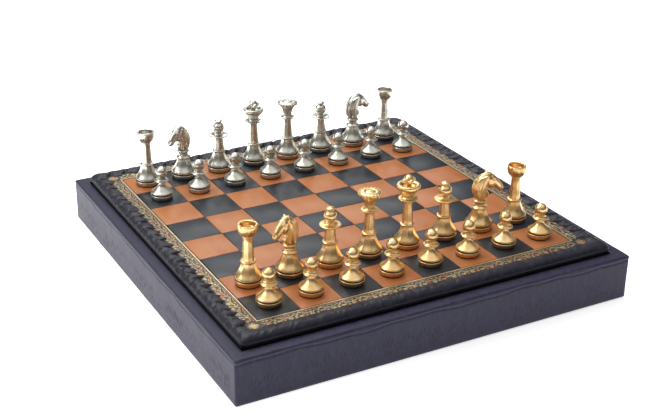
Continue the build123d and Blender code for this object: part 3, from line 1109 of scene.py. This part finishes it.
def king():
    top = 40.5
    outline = [
        *faceted_foot_outline(FOOT_RADIUS["king"], 5.9), *shaft_outline(4.5, 3.5, top),
        (4.4, 40.6), *bow((4.6, 40.7), (7.6, 41.25), -0.3, 4), *bead(7.35, 41.3, 42.1, 0.45, 5),
        *bow((7.2, 42.2), (4.5, 43.4), -0.5, 5), *bow((4.6, 43.6), (9.1, 50.4), -0.45, 9),
        *bead(8.7, 50.3, 53.9, 0.8, 8), (8.0, 54.0), *bow((7.8, 54.0), (5.6, 53.3), 0.2, 4),
        (5.1, 52.4), (4.8, 51.8), (2.9, 51.7), (2.5, 52.2), (2.5, 53.4),
        *bow((2.6, 53.6), (4.0, 56.6), -0.4, 4), *bow((4.1, 56.8), (3.5, 59.4), 0.35, 4), (2.9, 60.4),
        (2.0, 61.1), (0.8, 61.5),
    ]
    body = cut_facets(turned("king", outline), top)

    def crown_facets(radius, turn, height):
        share = ease(height, 43.6, 45.0) * (1 - ease(height, 48.6, 51.0))
        return radius * (1 + share * (octagon(turn) - 1))

    reshape(body, crown_facets)
    lobes = []
    for turn in range(0, 360, 90):
        lean = math.radians(turn)
        lobe = ball(0, 0, 0, 2.7, 2.3, 2.0, 16, 10)
        place = Matrix.Translation((3.4 * math.cos(lean) * MM, 3.4 * math.sin(lean) * MM, 56.9 * MM))
        tilt = Matrix.Rotation(math.radians(-24), 4, "Y")
        lobe.data.transform(place @ Matrix.Rotation(lean, 4, "Z") @ tilt)
        lobes.append(lobe)
    return finish_man("king", [body, *lobes])


def queen():
    top = 38.3
    outline = [
        *faceted_foot_outline(FOOT_RADIUS["queen"], 5.9), *shaft_outline(4.5, 3.5, top),
        (4.3, 38.4), *bow((4.4, 38.5), (6.9, 39.0), -0.25, 4), *bead(6.7, 39.05, 39.85, 0.4, 5),
        *bow((6.5, 39.9), (4.1, 41.0), -0.4, 5), (4.0, 41.3),
    ]
    body = cut_facets(turned("queen", outline), top)
    trumpet = [
        (3.9, 41.0), (4.0, 43.2), (4.3, 45.2), (4.9, 47.2), (5.9, 49.2), (7.2, 51.0), (8.6, 52.3),
        (9.1, 52.7), (9.2, 53.6), (8.6, 54.2), (7.4, 54.7), (5.8, 55.0),
        *bow((4.6, 55.0), (3.9, 54.6), 0.1, 3),
        *bow((3.8, 54.6), (2.6, 55.2), 0.2, 3), (1.6, 55.4), (0.5, 55.5),
    ]
    head = turned("trumpet", trumpet, 80)
    flutes = 20

    def fluting(radius, turn, height):
        groove = 0.5 - 0.5 * math.cos(flutes * turn)
        depth = 0.42 * ease(height, 41.4, 44.0) * (1 - ease(height, 53.4, 54.4))
        return radius - depth * groove

    reshape(head, fluting)
    beads = []
    for index in range(flutes):
        turn = 2 * math.pi * index / flutes
        x, y = 8.8 * math.cos(turn), 8.8 * math.sin(turn)
        beads.append(ball(x, y, 53.2, 0.9, 0.9, 1.3, 12, 8))
    return finish_man("queen", [body, head, *beads], 0.08)


def bishop():
    top = 32.9
    outline = [
        *faceted_foot_outline(FOOT_RADIUS["bishop"], 6.1), *shaft_outline(4.8, 3.6, top),
        (4.6, 33.0), *bow((4.8, 33.1), (8.3, 33.5), -0.25, 4), *bead(8.15, 33.5, 34.5, 0.55, 6),
        *bow((8.0, 34.6), (3.6, 35.5), -0.3, 4), (3.4, 35.8), (3.4, 36.4),
    ]
    low, high, wide = 36.6, 46.1, 5.3
    for step in range(1, 12):
        t = step / 12
        girth = math.sin(math.pi * t) ** 0.62
        rise = t - 0.03 * math.sin(2 * math.pi * t)
        outline.append((1.0 + (wide - 1.0) * girth, low + (high - low) * rise))
    outline += [(2.0, 46.1), (2.0, 46.5), *bead(2.9, 46.6, 48.3, 0.6, 6), (2.4, 48.5), (1.4, 48.9),
                (0.5, 49.0)]
    body = cut_facets(turned("bishop", outline), top)
    return finish_man("bishop", [body])


def pawn():
    radius = FOOT_RADIUS["pawn"]
    outline = [*foot_outline(radius), (radius - 0.6, 5.3), (radius - 0.25, 5.6), (radius - 0.2, 6.1),
               (radius - 0.5, 6.7)]
    low, high, wide, neck = 7.1, 15.4, radius - 1.0, 2.6
    for step in range(11):
        t = step / 10
        outline.append((neck + (wide - neck) * (1 - t) ** 2.1, low + (high - low) * t))
    outline += [*bow((3.0, 15.7), (5.9, 16.25), -0.3, 4), *bead(5.8, 16.3, 17.4, 0.5, 6),
                *bow((5.6, 17.5), (4.2, 18.2), -0.25, 4), (3.9, 18.8), (3.8, 19.6)]
    middle, size = 24.3, 5.1
    first = math.degrees(math.asin((19.8 - middle) / size))
    for step in range(14):
        turn = math.radians(first + (88 - first) * step / 13)
        outline.append((size * math.cos(turn), middle + size * math.sin(turn)))
    return finish_man("pawn", [turned("pawn", outline, 40)])


# Stations of the horse, in mm: forward, up, radius in profile and half thickness
NECK = [(0.2, 26.4, 4.4, 4.3), (-0.5, 30.5, 5.4, 4.7), (-1.0, 35.5, 6.1, 4.9), (0.2, 40.5, 5.9, 4.6),
        (2.4, 44.6, 5.1, 4.0), (5.0, 46.2, 4.3, 3.5)]
FACE = [(7.0, 43.8, 5.2, 4.2), (9.2, 42.8, 4.7, 3.8), (11.2, 41.2, 4.1, 3.2), (13.2, 39.4, 3.5, 2.8),
        (15.0, 37.5, 3.1, 2.6), (16.0, 36.6, 2.5, 2.3)]


def along_stations(stations, share):
    """Station at a share of the way along the list."""
    place = share * (len(stations) - 1)
    index = min(int(place), len(stations) - 2)
    t = place - index
    return [a + (b - a) * t for a, b in zip(stations[index], stations[index + 1])]


def flank(x, z):
    """Half thickness of the neck and crest at a place in profile, in mm."""
    best = 0.6
    for step in range(21):
        cx, cz, radius, thick = along_stations(NECK, step / 20)
        off = math.hypot(x - cx, z - cz) / radius
        if off < 1:
            best = max(best, thick * math.sqrt(1 - off * off))
    return best


def bulk(stations):
    """A smooth oval bar through stations: a round tube along them, flattened sideways, with a round end."""
    points = [(x, 0, z) for x, z, _, _ in stations]
    piece = swept("bulk", points, [station[2] for station in stations], 1, 8, 8, 3)
    flatten = sum(thick / radius for _, _, radius, thick in stations) / len(stations)
    piece.data.transform(Matrix.Diagonal((1, flatten, 1, 1)))
    x, z, radius, thick = stations[-1]
    return [piece, ball(x, 0, z, radius, thick, radius, 32, 20)]


def horse_head():
    """Cast horse head looking along +X: bulk first, then mane, ears, brows, cheeks and nostrils."""
    x, z, radius, thick = FACE[0]
    parts = [*bulk(NECK), *bulk(FACE), ball(x, 0, z, radius, thick, radius, 32, 20)]
    parts.append(ball(8.0, 0, 40.6, 4.0, 3.9, 4.2))
    parts.append(ball(14.4, 0, 35.8, 2.2, 1.9, 1.3))
    for side in (-1, 1):
        parts.append(ball(7.4, side * 2.2, 41.6, 3.2, 2.2, 3.6))
        parts.append(ball(16.4, side * 1.7, 37.6, 1.5, 1.1, 1.3))
        # Brow, cheekbone and ear
        for line, thickness in (
            (((7.4, 2.6, 47.0), (9.2, 3.3, 46.7), (11.0, 2.9, 45.4)), 1.3),
            (((9.2, 3.3, 44.2), (11.8, 2.9, 41.6), (14.2, 2.3, 39.2)), 0.8),
            (((3.6, 1.5, 47.6), (3.2, 2.1, 49.6), (4.4, 2.0, 50.8)), 2.6),
        ):
            parts.append(strand([(x, side * y, z) for x, y, z in line], thickness))
    for side in (-1, 1):
        for index, back in enumerate((0.93, 0.66, 0.38, 0.1)):
            # Long locks lie side by side down the neck, from the poll to the withers.
            line = []
            for step in range(9):
                share = 0.97 - 0.88 * step / 8
                x0, z0, radius, _ = along_stations(NECK, share)
                x = x0 - radius * back + 0.45 * math.sin(5 * share + 1.3 * index)
                line.append((x, side * (flank(x, z0) + 0.15), z0 + 2.2 * (1 - back) * share))
            parts.append(strand(line, 2.0, 0.45))
    ridge = []
    for step in range(9):
        x0, z0, radius, _ = along_stations(NECK, 0.98 - 0.9 * step / 8)
        ridge.append((x0 - radius * 0.98 + 0.35 * math.sin(1.9 * step), 0, z0 + 0.8))
    parts.append(strand(ridge, 2.3, 0.5))
    parts.append(strand([(2.2, 0, 49.6), (4.6, 0, 50.0), (7.2, 0, 48.6), (8.8, 0.4, 46.4)], 2.0))
    for place in (-1.6, 0.0, 1.6):
        lock = [(5.4, place, 33.6), (6.4, place * 0.8, 31.2), (5.6, place * 0.5, 28.0)]
        parts.append(strand(lock, 1.5, 0.3))
    head = joined("horse_head", parts)
    modify(head, "REMESH", mode="VOXEL", voxel_size=0.34 * MM)
    modify(head, "SMOOTH", factor=0.5, iterations=3)
    for side in (-1, 1):
        # Eye sockets, nostrils and the corner of the mouth
        cut_away(head, ball(9.7, side * 4.3, 45.0, 1.6, 1.2, 1.2, 16, 10))
        cut_away(head, ball(17.3, side * 2.4, 37.8, 0.65, 0.7, 0.8, 12, 8))
        cut_away(head, ball(15.6, side * 3.0, 35.9, 2.6, 1.1, 0.3, 16, 8))
    eyes = [ball(9.6, side * 3.35, 45.0, 0.85, 0.7, 0.8, 12, 8) for side in (-1, 1)]
    return joined("horse_head", [head, *eyes])


def knight():
    outline = [
        *faceted_foot_outline(FOOT_RADIUS["knight"], 6.3), *bow((5.9, 20.2), (4.2, 22.0), -0.35, 4),
        (4.1, 23.2), *bow((4.2, 23.5), (5.2, 24.6), -0.15, 3), *bead(5.1, 24.7, 25.8, 0.5, 5), (4.9, 25.9),
        (4.6, 26.6),
    ]
    body = break_edges(cut_facets(turned("knight", outline), 20.15))
    return smooth(joined("knight", [body, horse_head()]), 45)


GROOVE_LOW, GROOVE_HIGH = 4.46 * MM, 5.32 * MM
PLATING = {"gold": (GOLD, GOLD_PATINA), "silver": (SILVER, SILVER_PATINA)}


def plate(piece, metal):
    """Plates a casting; the groove of its foot keeps its oxide."""
    dress(piece, *PLATING[metal])
    for face in piece.data.polygons:
        in_groove = GROOVE_LOW < face.center.z < GROOVE_HIGH
        face.material_index = int(in_groove and face.center.xy.length > 7 * MM)


def felt_pad(kind):
    """Felt disc under a man, its cut edge a little fuzzy and rounded."""
    radius = FOOT_RADIUS[kind] - FELT_INSET
    outline = [(radius - 0.15, 0.0), (radius, 0.15), (radius, FELT - 0.1), (radius - 0.15, FELT)]
    return smooth(turned("felt", outline, 32), 60)


def men():
    """Every man: the casting modelled once per kind, then copied to its square, with its own felt."""
    makers = {"rook": rook, "knight": knight, "bishop": bishop, "queen": queen, "king": king, "pawn": pawn}
    for kind, make in makers.items():
        casting, felt = make(), felt_pad(kind)
        for node in sorted(nodes):
            if kind not in node.split("_"):
                continue
            metal, hand = node.split("_")[0], node.split("_")[-1]
            low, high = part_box(node)
            spot = [(math.floor((low[i] + high[i]) / 2 / SQUARE) + 0.5) * SQUARE for i in (0, 1)]
            turn = KNIGHT_TURN[f"{metal}_{hand}"] if kind == "knight" else 0.0
            where = Matrix.Translation((*spot, BOARD_TOP)) @ Matrix.Rotation(math.radians(turn), 4, "Z")
            man = copy_of(casting, node + "_casting")
            plate(man, metal)
            man.data.transform(where)
            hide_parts(node)
            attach(man, node)
            pad = copy_of(felt, node + "_felt", where)
            dress(pad, FELT_CLOTH)
            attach(pad, node)
        drop(casting, felt)


# Studio -------------------------------------------------------------------------------------------

LENS = 68.2
AZIMUTH, ELEVATION = -27.09, 23.80
AIM = Vector((-0.00938, 0.06559, 0.0444))
DISTANCE = 1.10516
SHIFT = (0.056, -0.040)


def camera():
    data = bpy.data.cameras.new("camera")
    data.lens = LENS
    data.shift_x, data.shift_y = SHIFT
    data.clip_start, data.clip_end = 0.05, 60
    made = bpy.data.objects.new("camera", data)
    bpy.context.scene.collection.objects.link(made)
    turn, rise = math.radians(AZIMUTH), math.radians(ELEVATION)
    back = Vector((math.sin(turn) * math.cos(rise), -math.cos(turn) * math.cos(rise), math.sin(rise)))
    made.location = AIM + back * DISTANCE
    made.rotation_mode = "QUATERNION"
    made.rotation_quaternion = (-back).to_track_quat("-Z", "Y")
    bpy.context.scene.camera = made


def area_light(name, place, aim, width, height, power):
    data = bpy.data.lights.new(name, "AREA")
    data.shape = "RECTANGLE"
    data.size, data.size_y = width, height
    data.energy = power
    made = bpy.data.objects.new(name, data)
    bpy.context.scene.collection.objects.link(made)
    made.location = place
    made.rotation_mode = "QUATERNION"
    made.rotation_quaternion = (Vector(place) - Vector(aim)).to_track_quat("Z", "Y")


def studio():
    """White sweep for a floor, dim walls, a bright ceiling, a little light from the left, soft boxes."""
    world = bpy.data.worlds.new("studio")
    bpy.context.scene.world = world
    world.use_nodes = True
    tree = world.node_tree
    way = add(tree, "ShaderNodeTexCoord").outputs["Generated"]
    parts = add(tree, "ShaderNodeSeparateXYZ", {"Vector": way})
    ceiling = add(tree, RANGE, {
        "Value": parts.outputs["Z"], "From Min": 0.56, "From Max": 0.84, "To Min": 0.13, "To Max": 1.0})
    left_wall = add(tree, RANGE, {
        "Value": parts.outputs["X"], "From Min": -0.35, "From Max": -0.85, "To Min": 0.0, "To Max": 0.12})
    total = add(tree, MATH, {0: ceiling.outputs["Result"], 1: left_wall.outputs["Result"]})
    tone = tinted(tree, colour("000000"), "FFFFFF", total.outputs["Value"], 0.0, 1.0)
    feed(tree, tree.nodes["Background"], {"Color": tone, "Strength": 1.0})

    deselect()
    bpy.ops.mesh.primitive_plane_add(size=80)
    floor = bpy.context.object
    floor.name = "floor"
    material, tree, shader, place = begin("white_paper_sweep")
    # The sweep behind and to the left is lit by itself, and throws light on that side of the box.
    parts = add(tree, "ShaderNodeSeparateXYZ", {"Vector": place})
    away = add(tree, MATH, {0: parts.outputs["Y"], 1: parts.outputs["X"]}, operation="SUBTRACT")
    glow = add(tree, RANGE, {
        "Value": away.outputs["Value"], "From Min": -0.2, "From Max": 0.8, "To Min": 0.6, "To Max": 1.5})
    feed(tree, shader, {
        "Base Color": colour("F4F4F4"), "Roughness": 0.9, "Specular IOR Level": 0.1,
        "Emission Color": colour("FFFFFF"), "Emission Strength": glow.outputs["Result"]})
    dress(floor, material)

    area_light("key_left", (-1.5, 0.5, 1.3), (0, 0, 0.05), 1.1, 0.9, 12)
    area_light("top_box", (-0.1, 0.72, 1.35), (0, 0.1, 0.05), 1.1, 0.8, 14.2)
    area_light("sheen_box", (0.60, 1.28, 0.78), (0, 0, 0.05), 0.7, 0.4, 2.1)
    bpy.context.scene.view_settings.view_transform = "Standard"


# Putting it together ------------------------------------------------------------------------------

# Parts that keep their CAD shape
CAD_FINISHES = (
    (FIBREBOARD, ("bottom_panel", "front_wall", "back_wall", "left_wall", "right_wall", "lid_base")),
    (BLACK_BOARD, ("board_panel",)),
    (VELVET, ("floor_lining",)),
    (FOAM, ("edge_foam",)),
    (BRASS, ("brass_line",)),
)

camera()
studio()
for material, names in CAD_FINISHES:
    for name in names:
        dress(nodes[name], material)
box_leatherette()
inside_of_box()
leather_squares("tan_leather_squares", "tan_squares", False, TAN)
leather_squares("navy_leather_squares", "navy_squares", True, NAVY)
border_strip()
gilt_scrolls()
padded_roll()
men()
